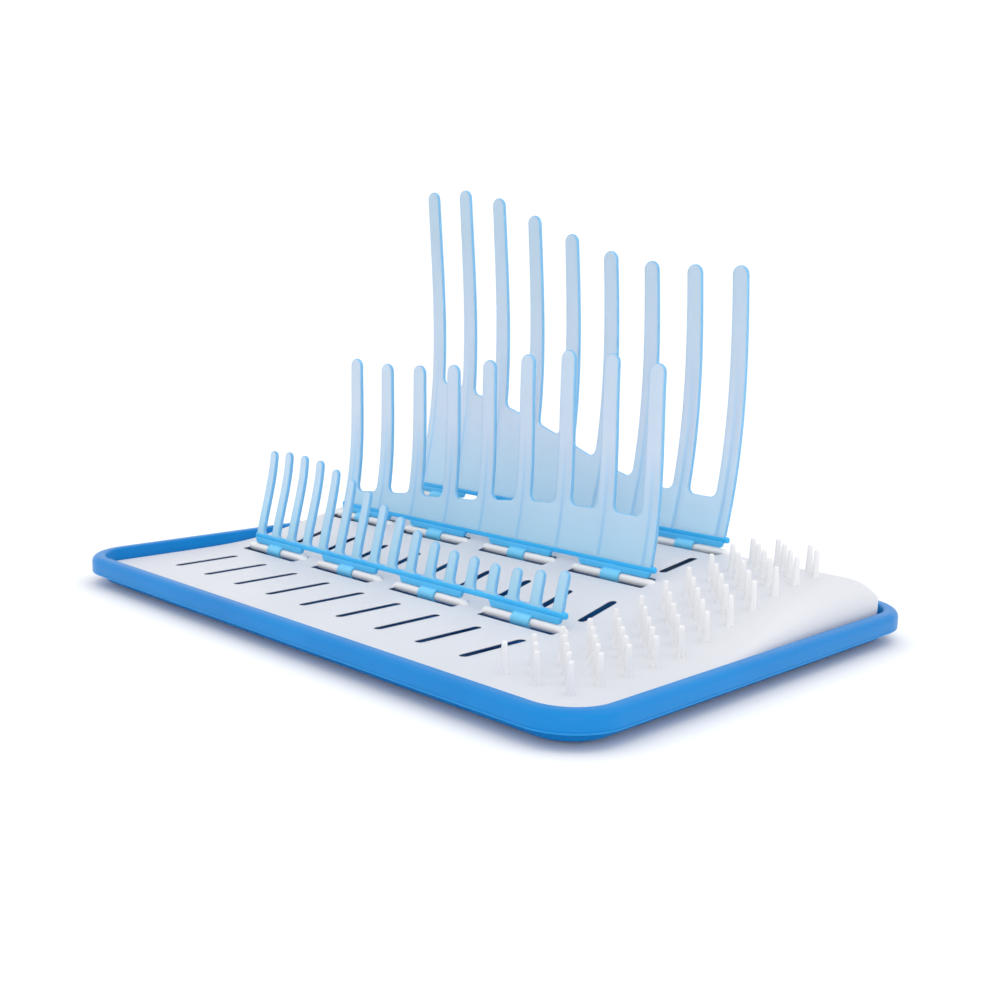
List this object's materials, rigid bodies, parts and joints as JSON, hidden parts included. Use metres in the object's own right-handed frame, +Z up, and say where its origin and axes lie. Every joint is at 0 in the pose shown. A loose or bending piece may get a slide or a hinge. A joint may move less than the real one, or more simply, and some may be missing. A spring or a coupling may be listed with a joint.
{
  "type": "bottle drying rack",
  "caption": "Drip tray with a lift-out slotted white deck, short drying pegs at one end and graded rows of curved translucent tines that fold down on snap hinges.",
  "frame": {"origin": "centre of the outline on the surface that the rack stands on", "axes": "+X along the hinge rods towards the peg end, +Y towards the tallest tine row, +Z up"},
  "size_m": [0.38, 0.263, 0.231],
  "materials": {
    "tray_blue": "satin moulded polypropylene, mid blue",
    "deck_white": "satin moulded polypropylene, white",
    "tine_blue": "translucent pale blue moulded plastic with a soft sheen"
  },
  "bodies": {
    "tray": {"tray": "tray_blue", "tray_feet": "tray_blue"},
    "deck": {"deck": "deck_white", "deck_pegs": "deck_white", "hinge_rods_front": "deck_white", "hinge_rods_middle": "deck_white", "hinge_rods_back": "deck_white"},
    "front_fin": {"front_fin_bar": "tine_blue", "front_fin_tines": "tine_blue"},
    "middle_fin": {"middle_fin_bar": "tine_blue", "middle_fin_web": "tine_blue", "middle_fin_tines": "tine_blue"},
    "back_fin": {"back_fin_bar": "tine_blue", "back_fin_web": "tine_blue", "back_fin_tines": "tine_blue"}
  },
  "joints": [
    {"name": "deck_lift", "type": "slide", "parent": "tray", "child": "deck", "axis": [0, 0, 1], "range_m": [0, 0.06]},
    {"name": "back_fin_fold", "type": "hinge", "parent": "deck", "child": "back_fin", "pos_m": [0, 0.1012, 0.0312], "axis": [1, 0, 0], "range_deg": [0, 82]},
    {"name": "middle_fin_fold", "type": "hinge", "parent": "deck", "child": "middle_fin", "pos_m": [0, 0.0378, 0.0236], "axis": [1, 0, 0], "range_deg": [0, 82]},
    {"name": "front_fin_fold", "type": "hinge", "parent": "deck", "child": "front_fin", "pos_m": [0, -0.0289, 0.0111], "axis": [1, 0, 0], "range_deg": [0, 82]}
  ],
  "couplings": [
    {"joint": "middle_fin_fold", "follows": "back_fin_fold", "ratio": 1},
    {"joint": "front_fin_fold", "follows": "back_fin_fold", "ratio": 1}
  ]
}
